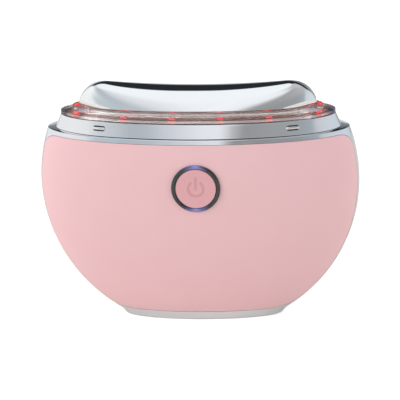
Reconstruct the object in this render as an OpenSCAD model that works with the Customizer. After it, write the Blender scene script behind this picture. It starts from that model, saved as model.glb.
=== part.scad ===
// Hand-held gua sha tool with a warmed, vibrating chrome head and a ring of red LEDs.
// Millimetres. +Z is up, the front with the power button faces -Y, and the origin is the middle
// of the flat base. The body is an ellipsoid cut flat at the base and at the rim.

/* [Body] */
// Width of the body at its belly
body_w = 86; // [84:1:90]
// Depth of the body at its belly, front to back
body_d = 28.4; // [27.4:0.2:31]
// Vertical radius of the rounded body
body_rz = 43.7; // [43.2:0.1:44.5]
// Height of the belly above the base
belly_h = 38.9; // [38.4:0.1:39.4]
// Height of the frame's rim above the base
rim_h = 53.2; // [52.7:0.1:53.7]
// Wall of the frame and of both panels
wall = 1.6; // [1.4:0.1:1.8]

/* [Frame and panels] */
// Width of the silver strip that runs down each side
strip_w = 4; // [3:0.5:4.5]
// Height of the silver base below the panels
base_h = 2.7; // [2.2:0.1:3.2]
// Height of the silver band between the panels and the rim
band_h = 1.2; // [1.1:0.1:1.6]
// Corner radius of the panels, seen from the side
panel_corner = 3.5; // [2.5:0.5:4]
// Hairline joint round the edge of a panel
panel_gap = 0.1; // [0.08:0.01:0.15]
// Diameter of the posts that hold the panels
post_d = 3; // [2.6:0.1:3.2]

/* [Collar] */
// Half width of the collar at its foot
collar_a = 38.5; // [38.2:0.1:39]
// Half width of the collar at its top
collar_top_a = 37; // [36.6:0.1:37.4]
// Depth of the collar as a share of its width
collar_ratio = 0.3; // [0.296:0.001:0.312]
// Height of the collar
collar_h = 3.7; // [3.6:0.1:4]
// Wall of the collar at its top
collar_wall = 1.2; // [1.1:0.05:1.4]
// Thickness of the collar's inner flange
flange_t = 1; // [0.8:0.1:1.1]
// Length of the four beads that a travel cap snaps over
bead_len = 3.6; // [3:0.1:4.2]
// Diameter of those beads
bead_d = 1.1; // [0.9:0.1:1.3]
// Half distance between the beads, along X
bead_x = 26; // [24:0.5:28]

/* [Light ring] */
// Height of the lens's lower step
lens_low_h = 1; // [0.9:0.1:1.2]
// Height of the lens's upper step
lens_high_h = 1.4; // [1.2:0.1:1.6]
// Half width of the lens's upper step
lens_high_a = 33.9; // [33.7:0.1:34.3]
// Half depth of the lens's upper step
lens_high_b = 8.1; // [8:0.1:8.4]
// Number of red LEDs round the head
led_count = 12; // [8:2:16]
// Thickness of the ring-shaped LED board
led_board_t = 0.6; // [0.5:0.1:0.8]

/* [Head] */
// Half width of the head at its foot
head_a = 32.1; // [31.8:0.1:32.4]
// Half depth of the head at its foot
head_b = 7.5; // [7.4:0.1:7.7]
// Height of the head at its two peaks, above its foot
head_h = 6.3; // [6:0.1:6.6]
// Dip of the head's edge between its peaks
head_dip = 1.2; // [0.9:0.1:1.5]
// Length of the rounded shoulder at each end
head_shoulder = 8.5; // [7:0.5:10]
// Thickness of the seal under the head
gasket_t = 0.2; // [0.15:0.05:0.3]
// Wall of the head's neck
neck_wall = 2; // [1.8:0.1:2.1]

/* [Power button] */
// Outer diameter of the dark ring
bezel_d = 13.2; // [12.8:0.1:13.6]
// Inner diameter of the dark ring
bezel_bore = 11; // [10.6:0.1:11.4]
// Height of the button's centre above the base
button_h = 40; // [39.5:0.1:40.5]
// How far the ring stands proud of the belly
bezel_proud = 0.5; // [0.4:0.05:0.7]
// Travel of the button
button_travel = 0.4; // [0.3:0.05:0.45]
// Running clearance round the button, on the radius
button_clear = 0.1; // [0.08:0.01:0.15]

/* [Inside] */
// Thickness of the chassis plate
chassis_t = 1.5; // [1.3:0.1:1.7]
// Length of the button's stem behind its flange
stem_l = 1; // [0.8:0.1:1.3]
// Thickness of the main board
board_t = 1; // [0.8:0.1:1.2]
// Width of the main board
board_w = 44; // [42:0.5:46]
// Height of the main board
board_h = 30; // [29:0.5:31]
// Width of the battery
cell_w = 34; // [30:0.5:36]
// Height of the battery
cell_h = 25; // [22:0.5:25]
// Thickness of the battery
cell_t = 5.5; // [4.5:0.1:6]
// Diameter of the vibration motor
motor_d = 7; // [6:0.2:7.2]
// Length of the vibration motor
motor_l = 13; // [12:0.2:13.5]
// Radius of the motor's off-centre weight
weight_r = 3.2; // [2.6:0.1:3.4]
// Diameter of the motor's shaft
shaft_d = 1; // [0.8:0.1:1.2]
// Diameter of the small screws
screw_d = 1.6; // [1.4:0.1:1.8]

/* [Hidden] */
$fn = 96;
fit = 0.1;            // gap between pieces that are assembled by hand
pilot_gap = 0.05;     // gap between a screw and the hole it is driven into
shaft_gap = 0.05;     // running clearance of a shaft or plunger, on the radius
arc_steps = 10;       // chords in a panel's rounded corner
cut_past = 1;         // how far a cut runs past the face it opens
screw_tip = 0.3;      // material left beyond the tip of a screw
lip_h = 0.2;          // how far the frame's edges stand past its floor and its top, round the panels

body_a = body_w / 2;
body_b = body_d / 2;
strip_y = strip_w / 2;
panel_top_z = rim_h - band_h;

// Heights of the stack above the rim
deck_z = rim_h + flange_t;
deck_t = 1.5;
led_board_z = deck_z + deck_t;
led_h = 0.6;
lens_z = rim_h + collar_h;
lens_step_z = lens_z + lens_low_h;
lens_top_z = lens_step_z + lens_high_h;
head_z = lens_top_z + gasket_t;

// Half axes of the ellipses in that stack
collar_top_b = collar_top_a * collar_ratio;
collar_mid_a = (collar_a + collar_top_a) / 2;
collar_mid_b = collar_mid_a * collar_ratio;
bore_a = collar_top_a - collar_wall;
bore_b = collar_top_b - collar_wall;
flange_in = 1.6;
opening_a = bore_a - flange_in;
opening_b = bore_b - flange_in;
head_overhang = 1.3;
neck_a = head_a - head_overhang;
neck_b = head_b - head_overhang;
cavity_a = neck_a - neck_wall;
cavity_b = neck_b - neck_wall;
lens_bore_gap = 0.2;
skirt_h = 0.5;
skirt_t = 0.7;
led_size = [1.6, 0.8, led_h];
led_mid = 1.9;        // from the collar's bore in to the line of LEDs
led_end = 0.966;      // where the last LED of a row stands, as a share of that line's half width
led_row = led_count / 2;
film_t = 0.3;
head_roof = 2.4;      // metal above the head's cavity, at the middle of the edge
head_mid_z = head_z + head_h - head_dip;
cavity_top_z = head_mid_z - head_roof;
head_rings = 10;
head_sides = 64;
head_post_x = [-20, -9, 9, 20];
head_post_d = 4.4;
head_pilot_l = 4;
film_a = head_post_x[3] - head_post_d / 2 - 0.3;
film_b = cavity_b * sqrt(1 - pow(film_a / cavity_a, 2)) - 0.15;
thermistor_d = 1.6;
thermistor_l = 2.6;
wire_hole_x = 14.5;
wire_hole_y = 2;
wire_hole_d = 2.4;

// Screws
screw_head_d = 2.8;
screw_head_h = 0.9;
screw_hole_d = screw_d + 0.4;
pilot_d = screw_d + 2 * pilot_gap;
pillar_d = screw_d + 2.4;

// Button and its ring
bezel_sleeve_d = bezel_bore + 1.4;
bezel_y = -(body_b + bezel_proud);
bezel_seat_y = -body_b - 0.02;
bezel_back_y = -(body_b - wall - 0.5);
panel_hole_d = bezel_sleeve_d + 2 * fit;
cap_d = bezel_bore - 2 * button_clear;
cap_y = bezel_y + 0.2;
cap_flange_d = bezel_sleeve_d - 0.2;
cap_flange_t = 0.8;
cap_flange_y = bezel_back_y + fit;
cap_stem_d = 3;
stem_gap = 0.05;
icon_deep = 0.3;
icon_r = 2.05;
icon_line = 0.5;
icon_open = 38;                             // half angle of the gap at the top of the symbol
icon_bar = 3.4;
icon_rise = 1.15;                           // how far the bar stands above the symbol's ring
icon_gap = 0.03;

// Push switch behind the button, which sets how far forward the main board stands
switch_w = 6;
switch_t = 3.4;
plunger_d = 3.4;
plunger_out = 0.75;
plunger_l = 2.2;
plunger_deep = 0.2;                         // spare depth behind the plunger at full travel
plunger_y = cap_flange_y + cap_flange_t + stem_l + stem_gap;
switch_y = plunger_y + plunger_out;

// Planes of the parts that stand upright inside the body
chassis_y = -strip_y;                       // front face of the plate
chassis_back_y = chassis_y + chassis_t;
chassis_mid_y = (chassis_y + chassis_back_y) / 2;
chassis_foot_z = base_h + fit;
chassis_top_z = panel_top_z - fit;
board_y = switch_y + switch_t;              // front face of the main board
board_back_y = board_y + board_t;
board_z = button_h - 19.5;                  // lower edge of the main board
board_hole_in = 3;                          // from the board's edges in to its screws
board_holes = [for (x = [-1, 1], z = [0, 1])
    [x * (board_w / 2 - board_hole_in), board_z + board_hole_in + z * (board_h - 2 * board_hole_in)]];
sleeve_d = post_d + 2.4;
sleeve_reach = 2;                           // how far a sleeve stands off the plate
posts = [[-33, belly_h - 4], [33, belly_h - 4], [-20, 11.5], [20, 11.5]];
post_rest = 0.2;                            // gap between two posts in one sleeve
lug_x = 13;
lug_w = 4;
lug_t = 3;
lug_h = 6.5;
lug_screw_z = base_h + 4.3;
leg_x = 27;
leg_w = 5;
leg_screw_z = rim_h - 5.5;
leg_foot = 3;                               // from the leg's screw down to its end

// Battery
cell_z = 15.5;
pad_t = 0.6;
cell_y = chassis_back_y + pad_t;
rib_t = 1;
rib_h = 3;
cell_gap = 0.2;

// Vibration motor, lying along X behind the plate
boot_t = 1;
motor_y = chassis_back_y + motor_d / 2 + boot_t + 1;
motor_z = rim_h - 6;
motor_x = -8;
boot_x = motor_x + 1;
boot_l = 10;
saddle_w = 1.5;
saddle_x = [1, 7];                          // from the boot's end to each saddle
weight_gap = 1.2;
weight_l = 4.5;
weight_x = motor_x + motor_l + weight_gap;
shaft_tail = 0.5;                           // shaft beyond the weight
shaft_in = 9;                               // shaft inside the can

// Charging socket in the base and its board
usb_w = 8.94;
usb_t = 3.2;
usb_l = 7.3;
usb_wall = 0.3;
usb_z = 0.5;
usb_slot_gap = 0.15;
tongue_w = 6.6;
tongue_t = 0.7;
tongue_l = 5;
usb_board_w = 18;
usb_board_h = 11;
usb_board_t = 0.8;
usb_board_z = base_h + 0.3;
usb_board_y = usb_t / 2;
usb_hole_x = 7;
usb_hole_z = usb_board_z + 9;
notch_x = 5.2;
notch_z = usb_board_z + 6.8;

// Electronic parts on the main board: places [x, z] and sizes [width, height, thickness]
board_right = board_w / 2;
board_top_z = board_z + board_h;
chip_in = [11, 8];                          // from the board's nearest edges in to the control chip
charger_in = [12, 8];
coil_in = [6, 10];
plug_in = [8, 3.4];
chip_size = [5, 5, 0.9];
charger_size = [3, 3, 0.8];
coil_size = [4, 4, 2];
control_chip_at = [chip_in[0] - board_right, board_top_z - chip_in[1]];
charge_chip_at = [board_right - charger_in[0], board_z + charger_in[1]];
inductor_at = [board_right - coil_in[0], board_z + coil_in[1]];
connectors = [
    [plug_in[0] - board_right, board_z + plug_in[1]], [0, board_z + plug_in[1]],
    [board_right - plug_in[0], board_top_z - plug_in[1]]
];
connector_size = [5, 3, 1.6];

// Half width and half depth of the body at a height
function body_share(z) = sqrt(1 - pow((z - belly_h) / body_rz, 2));

// Points of an arc in the plane
function arc(cx, cy, r, from, to, steps) =
    [for (i = [0 : steps]) let (t = from + (to - from) * i / steps) [cx + r * cos(t), cy + r * sin(t)]];

// Solid ellipsoid of the body, drawn in by an inset all round
module egg(inset) {
    translate([0, 0, belly_h])
        scale([body_a - inset, body_b - inset, body_rz - inset])
            sphere(r = 1);
}

// Upright prism with an elliptical plan
module oval(a, b, z, h) {
    translate([0, 0, z])
        scale([a, b, 1])
            cylinder(r = 1, h = h);
}

// Ring between two ovals
module oval_ring(a, b, in_a, in_b, z, h) {
    difference() {
        oval(a, b, z, h);
        oval(in_a, in_b, z - 1, h + 2);
    }
}

// Box given by its low corner and its high corner
module block(low, high) {
    translate(low) cube(high - low);
}

// Cylinder along Y from one plane to another
module rod_y(x, z, d, from, to) {
    translate([x, from, z])
        rotate([-90, 0, 0])
            cylinder(d = d, h = to - from);
}

// Cylinder along X from one plane to another
module rod_x(y, z, r, from, to) {
    translate([from, y, z])
        rotate([0, 90, 0])
            cylinder(r = r, h = to - from);
}

// Side view of a panel, open to the front, with rounded corners beside the strip
function panel_outline(gap) =
    let (
        y = strip_y + gap,
        r = panel_corner - gap,
        foot = base_h + gap,
        top = panel_top_z - gap,
        far = body_b + 5
    )
    concat(
        [[far, foot]],
        [[far, top]],
        arc(y + r, top - r, r, 90, 180, arc_steps),
        arc(y + r, foot + r, r, 180, 270, arc_steps)
    );

// That outline drawn through the whole width, on the side given by -1 front or 1 rear
module panel_space(side, gap) {
    mirror([0, side < 0 ? 1 : 0, 0])
        translate([-body_w, 0, 0])
            rotate([90, 0, 90])
                linear_extrude(height = 2 * body_w)
                    polygon(panel_outline(gap));
}

module screw_y(x, z, face_y, into, length) {
    // into is 1 for a screw driven towards +Y and -1 towards -Y
    rod_y(x, z, screw_d, min(face_y, face_y + into * length), max(face_y, face_y + into * length));
    rod_y(x, z, screw_head_d, min(face_y, face_y - into * screw_head_h), max(face_y, face_y - into * screw_head_h));
}

// Silver frame: base, side strips and rim in one piece
module mid_frame() {
    color("silver") {
        difference() {
            intersection() {
                egg(0);
                block([-body_w, -body_d, 0], [body_w, body_d, rim_h]);
            }
            intersection() {
                egg(wall);
                block([-body_w, -body_d, base_h - lip_h], [body_w, body_d, panel_top_z + lip_h]);
            }
            oval(opening_a, opening_b, panel_top_z - 1, band_h + 2);
            panel_space(-1, 0);
            panel_space(1, 0);
            usb_slot(base_h + 1);
        }
        frame_lugs();
    }
}

// Slot in the base for the charging socket
module usb_slot(height) {
    slot_w = usb_w + 2 * usb_slot_gap;
    slot_t = usb_t + 2 * usb_slot_gap;
    translate([0, 0, -1]) {
        linear_extrude(height = height + 1)
            square([slot_w - slot_t, slot_t], center = true);
        for (side = [-1, 1])
            translate([side * (slot_w - slot_t) / 2, 0, 0])
                cylinder(d = slot_t, h = height + 1);
    }
}

// Lugs on the base that the chassis is screwed to
module frame_lugs() {
    for (side = [-1, 1])
        difference() {
            block(
                [side * lug_x - lug_w / 2, chassis_back_y + fit, base_h - 0.5],
                [side * lug_x + lug_w / 2, chassis_back_y + fit + lug_t, base_h + lug_h]
            );
            rod_y(side * lug_x, lug_screw_z, pilot_d, chassis_y, chassis_back_y + lug_t + 1);
        }
}

// Pink half shell with its four posts
module panel(side) {
    intersection() {
        difference() {
            egg(0);
            egg(wall);
        }
        panel_space(side, panel_gap);
    }
    intersection() {
        egg(wall / 2);
        union()
            for (at = posts)
                rod_y(
                    at[0], at[1], post_d,
                    side < 0 ? -body_d : chassis_mid_y + post_rest / 2,
                    side < 0 ? chassis_mid_y - post_rest / 2 : body_d
                );
    }
}

module front_panel() {
    color("pink")
        difference() {
            panel(-1);
            rod_y(0, button_h, panel_hole_d, -body_d, chassis_y - 5);
        }
}

module rear_panel() {
    color("pink") panel(1);
}

// Chrome collar: sloped wall, inner flange and the four cap beads
module upper_collar() {
    bead_y = collar_mid_b * sqrt(1 - pow(bead_x / collar_mid_a, 2));
    turn = atan(collar_mid_b / collar_mid_a * bead_x / (collar_mid_a * sqrt(1 - pow(bead_x / collar_mid_a, 2))));
    color("silver") {
        difference() {
            translate([0, 0, rim_h])
                scale([1, collar_ratio, 1])
                    cylinder(r1 = collar_a, r2 = collar_top_a, h = collar_h);
            oval(bore_a, bore_b, deck_z, collar_h);
            oval(opening_a, opening_b, rim_h - 1, collar_h);
        }
        for (x = [-1, 1], y = [-1, 1])
            translate([x * bead_x, y * (bead_y - 0.1), rim_h + collar_h / 2])
                rotate([0, 0, -x * y * turn])
                    bead();
    }
}

// Rod with tapered ends along X
module bead() {
    straight = bead_len / 2 - bead_d / 2;
    rotate([0, 90, 0])
        rotate_extrude()
            polygon([
                [0, -bead_len / 2], [bead_d / 4, -bead_len / 2], [bead_d / 2, -straight],
                [bead_d / 2, straight], [bead_d / 4, bead_len / 2], [0, bead_len / 2]
            ]);
}

// Clear stepped ring over the LEDs
module lens_ring() {
    in_a = neck_a + lens_bore_gap;
    in_b = neck_b + lens_bore_gap;
    out_a = bore_a - fit;
    out_b = bore_b - fit;
    color("mistyrose", 0.5) {
        oval_ring(collar_top_a, collar_top_b, in_a, in_b, lens_z, lens_low_h);
        oval_ring(lens_high_a, lens_high_b, in_a, in_b, lens_step_z, lens_high_h);
        oval_ring(out_a, out_b, out_a - skirt_t, out_b - skirt_t, lens_z - skirt_h, skirt_h);
    }
}

// Point of the head's surface, a parabola seen from the end: up runs 0 to 90 from foot to edge,
// and round runs 0 to 360 in plan
function head_point(up, round) =
    let (
        a = head_a - head_shoulder * (1 - cos(up)),
        rise = (head_h - head_dip) * sin(up),
        drop = head_h - head_dip - rise,
        b = head_b * sqrt(max(0, drop) / (head_h - head_dip)),
        x = a * cos(round),
        peak_x = head_a - head_shoulder
    )
    [x, b * sin(round), head_z + rise + head_dip * pow(x / peak_x, 2) * pow(sin(up), 2)];

// Outer form of the head as one closed skin
module head_form() {
    rings = [for (i = [0 : head_rings - 1]) let (up = 86 * i / (head_rings - 1))
        for (k = [0 : head_sides - 1]) head_point(up, 360 * k / head_sides)];
    foot = [0 : head_sides - 1];
    last = (head_rings - 1) * head_sides;
    polyhedron(
        points = rings,
        faces = concat(
            [[for (k = foot) k]],
            [for (i = [0 : head_rings - 2], k = foot) let (n = (k + 1) % head_sides, low = i * head_sides)
                each [[low + k, low + head_sides + k, low + head_sides + n], [low + k, low + head_sides + n, low + n]]],
            [for (k = [0 : head_sides / 2 - 2]) let (
                p = last + k, q = last + k + 1,
                s = last + (head_sides - k) % head_sides, t = last + head_sides - k - 1)
                each k == 0 ? [[p, t, q]] : [[p, s, t], [p, t, q]]],
            [[last + head_sides / 2 - 1, last + head_sides / 2 + 1, last + head_sides / 2]]
        )
    );
}

// Chrome head: rounded edge, hollow neck and the posts for its screws
module head_shell() {
    color("gainsboro")
        difference() {
            union() {
                difference() {
                    union() {
                        head_form();
                        oval(neck_a, neck_b, led_board_z, head_z - led_board_z + 0.5);
                    }
                    oval(cavity_a, cavity_b, led_board_z - 1, cavity_top_z - led_board_z + 1);
                }
                for (x = head_post_x)
                    translate([x, 0, led_board_z])
                        cylinder(d = head_post_d, h = cavity_top_z - led_board_z + 0.3);
            }
            for (x = head_post_x)
                translate([x, 0, led_board_z - 1])
                    cylinder(d = pilot_d, h = head_pilot_l + 1);
        }
}

// Silicone ring between the head and the lens
module head_gasket() {
    color("white")
        oval_ring(neck_a + 0.9, neck_b + 0.9, neck_a + lens_bore_gap, neck_b + lens_bore_gap, lens_top_z, gasket_t);
}

// Heating film under the roof of the head's cavity
module heater_film() {
    color("orange")
        difference() {
            block([-film_a, -film_b, cavity_top_z - film_t], [film_a, film_b, cavity_top_z]);
            for (x = [head_post_x[1], head_post_x[2]])
                translate([x, 0, cavity_top_z - 1])
                    cylinder(d = head_post_d + 0.4, h = 2);
        }
}

// Bead that senses the film's heat
module thermistor() {
    color("black")
        translate([0, 0, cavity_top_z - film_t - thermistor_d / 2])
            rotate([0, 90, 0])
                cylinder(d = thermistor_d - 0.02, h = thermistor_l, center = true);
}

// Deck that carries the head and LED board and clamps the collar
module deck() {
    color("dimgray") {
        difference() {
            oval(bore_a - fit, bore_b - fit, deck_z, deck_t);
            for (x = head_post_x)
                translate([x, 0, deck_z - cut_past])
                    cylinder(d = screw_hole_d, h = deck_t + 2 * cut_past);
            for (side = [-1, 1])
                translate([side * wire_hole_x, wire_hole_y, deck_z - cut_past])
                    cylinder(d = wire_hole_d, h = deck_t + 2 * cut_past);
        }
        for (side = [-1, 1])
            difference() {
                block(
                    [side * leg_x - leg_w / 2, chassis_back_y + fit, leg_screw_z - leg_foot],
                    [side * leg_x + leg_w / 2, chassis_back_y + fit + lug_t, deck_z + 0.5]
                );
                rod_y(side * leg_x, leg_screw_z, pilot_d, chassis_y, chassis_back_y + lug_t + 1);
            }
    }
}

// Ring board under the lens
module led_board() {
    color("darkred")
        oval_ring(
            bore_a - skirt_t - 2 * fit, bore_b - skirt_t - 2 * fit, neck_a + fit, neck_b + fit,
            led_board_z, led_board_t
        );
}

// Red LEDs spaced evenly along the ring
module red_leds() {
    mid_a = bore_a - led_mid;
    mid_b = bore_b - led_mid + 0.2;
    color("red")
        for (i = [0 : led_count - 1])
            let (t = led_angle(i), x = mid_a * cos(t), y = mid_b * sin(t))
                translate([x, y, led_board_z + led_board_t])
                    rotate([0, 0, atan2(mid_b * cos(t), -mid_a * sin(t))])
                        translate([-led_size[0] / 2, -led_size[1] / 2, 0])
                            cube(led_size - [0, 0, 0.05]);
}

// Angle of an LED so that the front row and the rear row are even along X
function led_angle(i) =
    let (k = i % led_row, turn = i < led_row ? 0 : 180)
    turn + acos(led_end * (1 - 2 * k / (led_row - 1)));

// Upright plate that carries the boards, battery and motor
module chassis() {
    color("whitesmoke") {
        difference() {
            intersection() {
                egg(wall + 0.3);
                block([-body_w, chassis_y, chassis_foot_z], [body_w, chassis_back_y, chassis_top_z]);
            }
            block([-notch_x, chassis_y - 1, 0], [notch_x, chassis_back_y + 1, notch_z]);
            for (side = [-1, 1]) {
                rod_y(side * lug_x, lug_screw_z, screw_hole_d, chassis_y - 1, chassis_back_y + 1);
                rod_y(side * leg_x, leg_screw_z, screw_hole_d, chassis_y - 1, chassis_back_y + 1);
            }
            for (at = posts)
                rod_y(at[0], at[1], post_d + 2 * fit, chassis_y - 1, chassis_back_y + 1);
        }
        for (at = posts, side = [-1, 1])
            difference() {
                rod_y(at[0], at[1], sleeve_d, sleeve_from(side), sleeve_from(side) + sleeve_reach);
                rod_y(at[0], at[1], post_d + 2 * fit, chassis_y - 5, chassis_back_y + 5);
            }
        for (at = board_holes)
            standoff(at[0], at[1], board_back_y, chassis_y);
        for (side = [-1, 1])
            standoff(side * usb_hole_x, usb_hole_z, chassis_back_y, usb_board_y);
        battery_ribs();
        for (x = saddle_x)
            motor_saddle(boot_x + x);
    }
}
function sleeve_from(side) = side < 0 ? chassis_y - sleeve_reach : chassis_back_y;

// Hollow pillar for a screw
module standoff(x, z, from, to) {
    difference() {
        rod_y(x, z, pillar_d, from, to);
        rod_y(x, z, pilot_d, from - 1, to + 1);
    }
}

// Low wall round the battery
module battery_ribs() {
    half = cell_w / 2 + cell_gap;
    low = cell_z - cell_gap;
    high = cell_z + cell_h + cell_gap;
    difference() {
        block([-half - rib_t, chassis_back_y, low - rib_t], [half + rib_t, chassis_back_y + rib_h, high + rib_t]);
        block([-half, chassis_back_y - 1, low], [half, chassis_back_y + rib_h + 1, high]);
        block([-half + 5, chassis_back_y - 1, low - 5], [half - 5, chassis_back_y + rib_h + 1, high + 5]);
    }
}

// Cradle that half wraps the motor's rubber boot
module motor_saddle(x) {
    r = motor_d / 2 + boot_t + fit;
    difference() {
        block([x, chassis_back_y, motor_z - r - 1], [x + saddle_w, motor_y, motor_z + r + 0.4]);
        rod_x(motor_y, motor_z, r, x - 1, x + saddle_w + 1);
    }
}

// Main circuit board
module main_board() {
    color("seagreen")
        difference() {
            block([-board_w / 2, board_y, board_z], [board_w / 2, board_back_y, board_z + board_h]);
            for (at = board_holes)
                rod_y(at[0], at[1], screw_hole_d, board_y - 1, board_back_y + 1);
        }
}

// Flat component on the front of the main board
module on_board(at, size) {
    block(
        [at[0] - size[0] / 2, board_y - size[2], at[1] - size[1] / 2],
        [at[0] + size[0] / 2, board_y, at[1] + size[1] / 2]
    );
}

module control_chip() {
    color("black") on_board(control_chip_at, chip_size);
}

module charge_chip() {
    color("black") on_board(charge_chip_at, charger_size);
}

module power_inductor() {
    color("gray") on_board(inductor_at, coil_size);
}

module board_connectors() {
    color("ivory")
        for (at = connectors)
            on_board(at, connector_size);
}

// Push switch: square case with a blind bore for the plunger
module tact_switch() {
    color("dimgray")
        difference() {
            block(
                [-switch_w / 2, switch_y, button_h - switch_w / 2],
                [switch_w / 2, board_y, button_h + switch_w / 2]
            );
            rod_y(
                0, button_h, plunger_d + 2 * shaft_gap, switch_y - 1,
                plunger_y + plunger_l + button_travel + plunger_deep
            );
        }
}

module switch_plunger() {
    color("black") rod_y(0, button_h, plunger_d, plunger_y, plunger_y + plunger_l);
}

// Dark ring round the button, with a sleeve through the panel
module button_bezel() {
    color("darkslategray")
        difference() {
            union() {
                rod_y(0, button_h, bezel_d, bezel_y, bezel_seat_y);
                rod_y(0, button_h, bezel_sleeve_d, bezel_seat_y - 0.1, bezel_back_y);
            }
            rod_y(0, button_h, bezel_bore, bezel_y - 1, bezel_back_y + 1);
        }
}

// Open ring and bar of the power symbol, drawn in the plane
module icon_shape(grow) {
    difference() {
        circle(r = icon_r + icon_line / 2 + grow, $fn = 48);
        circle(r = icon_r - icon_line / 2 - grow, $fn = 48);
        polygon([[0, 0], [icon_r * 2 * sin(icon_open), icon_r * 2], [-icon_r * 2 * sin(icon_open), icon_r * 2]]);
    }
    translate([-icon_line / 2 - grow, icon_r + icon_rise - icon_bar - grow])
        square([icon_line + 2 * grow, icon_bar + 2 * grow]);
}

module icon_solid(grow, from, to) {
    translate([0, to, button_h])
        rotate([90, 0, 0])
            linear_extrude(height = to - from)
                icon_shape(grow);
}

// Button cap, its hidden flange and the stem that meets the switch
module power_button() {
    color("lightpink")
        difference() {
            union() {
                rod_y(0, button_h, cap_d, cap_y, cap_flange_y + 0.1);
                rod_y(0, button_h, cap_flange_d, cap_flange_y, cap_flange_y + cap_flange_t);
                rod_y(0, button_h, cap_stem_d, cap_flange_y, plunger_y - stem_gap);
            }
            icon_solid(icon_gap, cap_y - 1, cap_y + icon_deep);
        }
}

module power_icon() {
    color("palevioletred") icon_solid(0, cap_y, cap_y + icon_deep - icon_gap);
}

module battery() {
    color("steelblue")
        block([-cell_w / 2, cell_y, cell_z], [cell_w / 2, cell_y + cell_t, cell_z + cell_h]);
}

// Foam tape that holds the battery to the chassis
module battery_pad() {
    color("dimgray")
        block([-cell_w / 2 + 2, chassis_back_y, cell_z + 2], [cell_w / 2 - 2, cell_y, cell_z + cell_h - 2]);
}

module motor_can() {
    color("silver")
        difference() {
            rod_x(motor_y, motor_z, motor_d / 2, motor_x, motor_x + motor_l);
            rod_x(motor_y, motor_z, shaft_d / 2 + shaft_gap, motor_x + motor_l - shaft_in - 1, motor_x + motor_l + 1);
        }
}

module motor_boot() {
    color("black")
        difference() {
            rod_x(motor_y, motor_z, motor_d / 2 + boot_t, boot_x, boot_x + boot_l);
            rod_x(motor_y, motor_z, motor_d / 2 + 0.02, boot_x - 1, boot_x + boot_l + 1);
        }
}

module motor_shaft() {
    color("silver")
        rod_x(motor_y, motor_z, shaft_d / 2, motor_x + motor_l - shaft_in, weight_x + weight_l + shaft_tail);
}

// Half-round weight pressed on the shaft
module motor_weight() {
    color("goldenrod")
        difference() {
            rod_x(motor_y, motor_z, weight_r, weight_x, weight_x + weight_l);
            block(
                [weight_x - 1, motor_y - weight_r - 1, motor_z + shaft_d],
                [weight_x + weight_l + 1, motor_y + weight_r + 1, motor_z + weight_r + 1]
            );
            rod_x(motor_y, motor_z, shaft_d / 2 + 0.01, weight_x - 1, weight_x + weight_l + 1);
        }
}

module usb_board() {
    color("seagreen")
        difference() {
            block(
                [-usb_board_w / 2, usb_board_y, usb_board_z],
                [usb_board_w / 2, usb_board_y + usb_board_t, usb_board_z + usb_board_h]
            );
            for (side = [-1, 1])
                rod_y(side * usb_hole_x, usb_hole_z, screw_hole_d, usb_board_y - 1, usb_board_y + usb_board_t + 1);
        }
}

// Prism with round ends along X, used for the socket's shell
module stadium(w, t, z, h) {
    translate([0, 0, z]) {
        linear_extrude(height = h)
            square([w - t, t], center = true);
        for (side = [-1, 1])
            translate([side * (w - t) / 2, 0, 0])
                cylinder(d = t, h = h);
    }
}

module usb_socket() {
    color("silver")
        difference() {
            stadium(usb_w, usb_t, usb_z, usb_l);
            stadium(usb_w - 2 * usb_wall, usb_t - 2 * usb_wall, usb_z - 1, usb_l);
        }
}

module usb_tongue() {
    color("black")
        block(
            [-tongue_w / 2, -tongue_t / 2, usb_z + usb_l - 1 - tongue_l],
            [tongue_w / 2, tongue_t / 2, usb_z + usb_l - 1]
        );
}

module head_screws() {
    color("silver")
        for (x = head_post_x)
            translate([x, 0, deck_z]) {
                cylinder(d = screw_d, h = deck_t + head_pilot_l - screw_tip);
                translate([0, 0, -screw_head_h])
                    cylinder(d = screw_head_d, h = screw_head_h);
            }
}

module deck_screws() {
    color("silver")
        for (side = [-1, 1])
            screw_y(side * leg_x, leg_screw_z, chassis_y, 1, chassis_t + lug_t - screw_tip);
}

module frame_screws() {
    color("silver")
        for (side = [-1, 1])
            screw_y(side * lug_x, lug_screw_z, chassis_y, 1, chassis_t + lug_t - screw_tip);
}

module board_screws() {
    color("silver")
        for (at = board_holes)
            screw_y(at[0], at[1], board_y, 1, chassis_y - board_y - screw_tip);
}

module usb_board_screws() {
    color("silver")
        for (side = [-1, 1])
            screw_y(side * usb_hole_x, usb_hole_z, usb_board_y + usb_board_t, -1, usb_board_y + usb_board_t - chassis_back_y - screw_tip);
}

mid_frame();
front_panel();
rear_panel();
upper_collar();
lens_ring();
head_shell();
head_gasket();
heater_film();
thermistor();
deck();
led_board();
red_leds();
chassis();
main_board();
control_chip();
charge_chip();
power_inductor();
board_connectors();
tact_switch();
switch_plunger();
button_bezel();
power_button();
power_icon();
battery();
battery_pad();
motor_can();
motor_boot();
motor_shaft();
motor_weight();
usb_board();
usb_socket();
usb_tongue();
head_screws();
deck_screws();
board_screws();
usb_board_screws();
frame_screws();
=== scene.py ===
# %% [markdown]
# # A gua sha tool with a chrome head and a ring of red light
# The tool is a palm-sized egg cut flat at the base. A silver frame holds a pink shell at the front
# and one at the back. On top sit a chrome collar, a clear stepped lens over red LEDs, and the
# polished head that strokes the skin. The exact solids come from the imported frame. This lesson
# dresses them: smoother shells, small rounded edges, the ribs of the lens and every finish.

# %% Start
import math

import bmesh
import bpy
from mathutils import Matrix, Vector


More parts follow.
